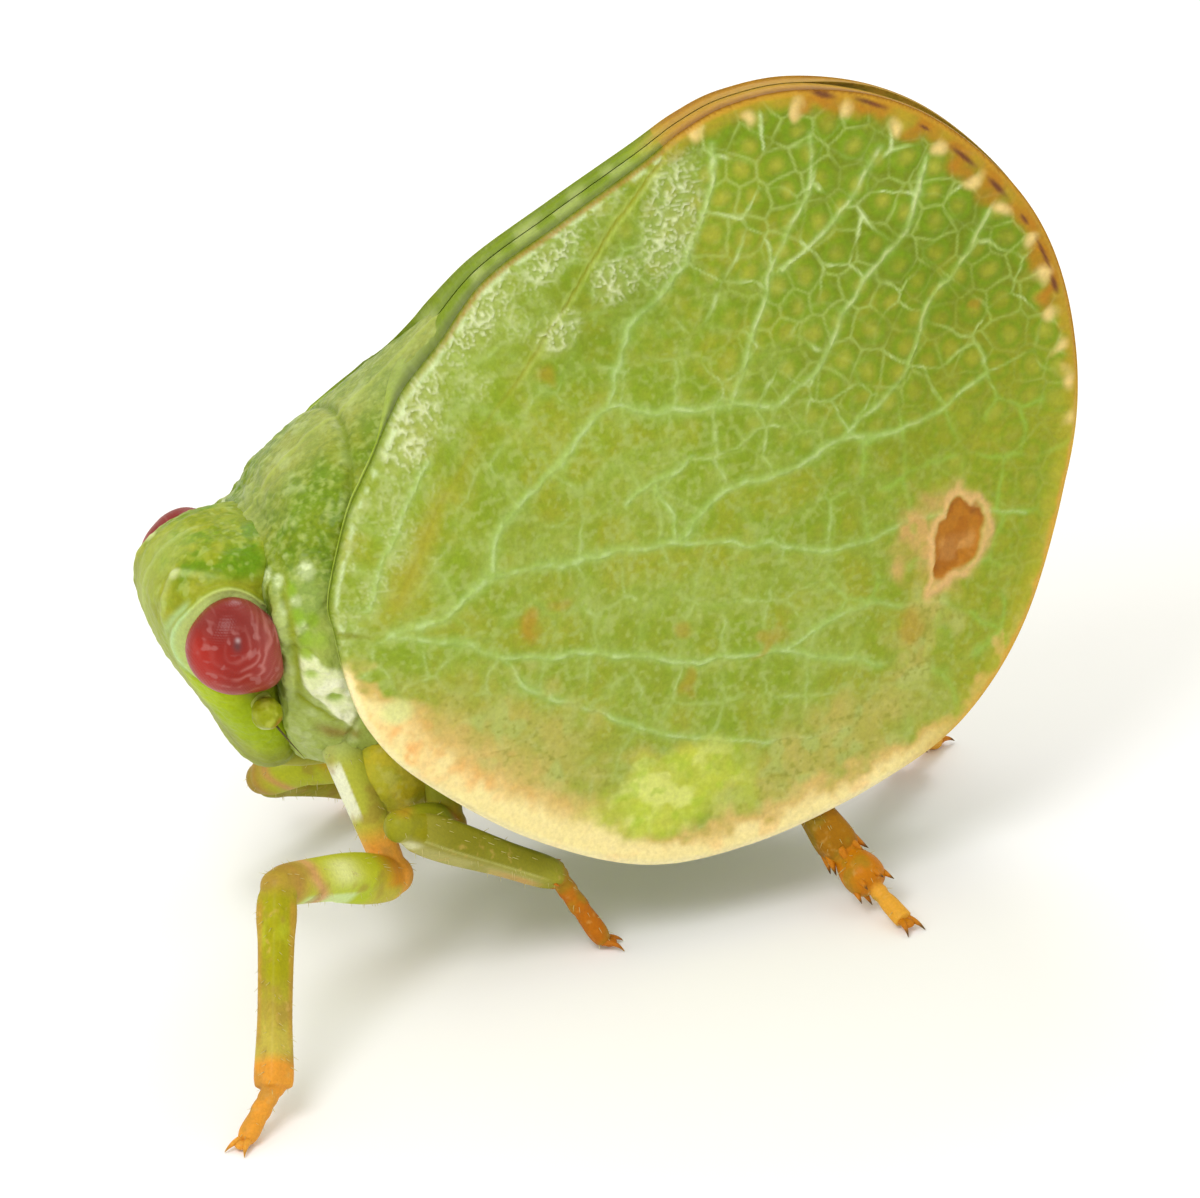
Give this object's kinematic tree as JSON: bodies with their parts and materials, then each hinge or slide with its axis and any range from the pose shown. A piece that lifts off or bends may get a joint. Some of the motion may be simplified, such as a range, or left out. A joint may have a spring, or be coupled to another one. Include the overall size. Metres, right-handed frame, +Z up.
{
  "type": "planthopper (Acanalonia parva)",
  "caption": "Life-size model of a small green planthopper with red eyes, tall leaf-like forewings folded like a roof, and six thin legs standing on the floor.",
  "frame": {"origin": "on the floor under the middle of the outline", "axes": "+Z up, head towards -X, left side of the insect towards -Y"},
  "size_m": [0.005, 0.0036, 0.0042],
  "materials": {
    "green": "satin",
    "wing_green": "satin",
    "lime": "satin",
    "olive": "satin",
    "orange": "satin",
    "crimson": "glossy",
    "cream": "satin"
  },
  "bodies": {
    "root": {"head": "lime", "eye_left": "crimson", "eye_right": "crimson", "clypeus": "lime", "beak": "olive", "antenna_left": "olive", "antenna_right": "olive", "pronotum": "green", "mesonotum": "green", "thorax": "lime", "abdomen": "lime", "tail": "lime", "tegula_left": "cream", "tegula_right": "cream", "tegmen_left": "wing_green", "tegmen_right": "wing_green", "coxa_front_left": "lime", "femur_front_left": "olive", "tibia_front_left": "olive", "tarsus_front_left": "orange", "coxa_front_right": "lime", "femur_front_right": "olive", "tibia_front_right": "olive", "tarsus_front_right": "orange", "coxa_middle_left": "lime", "femur_middle_left": "olive", "tibia_middle_left": "olive", "tarsus_middle_left": "orange", "coxa_middle_right": "lime", "femur_middle_right": "olive", "tibia_middle_right": "olive", "tarsus_middle_right": "orange", "coxa_hind_left": "lime", "femur_hind_left": "olive", "tibia_hind_left": "olive", "tarsus_hind_left": "orange", "coxa_hind_right": "lime", "femur_hind_right": "olive", "tibia_hind_right": "olive", "tarsus_hind_right": "orange"}
  },
  "joints": []
}
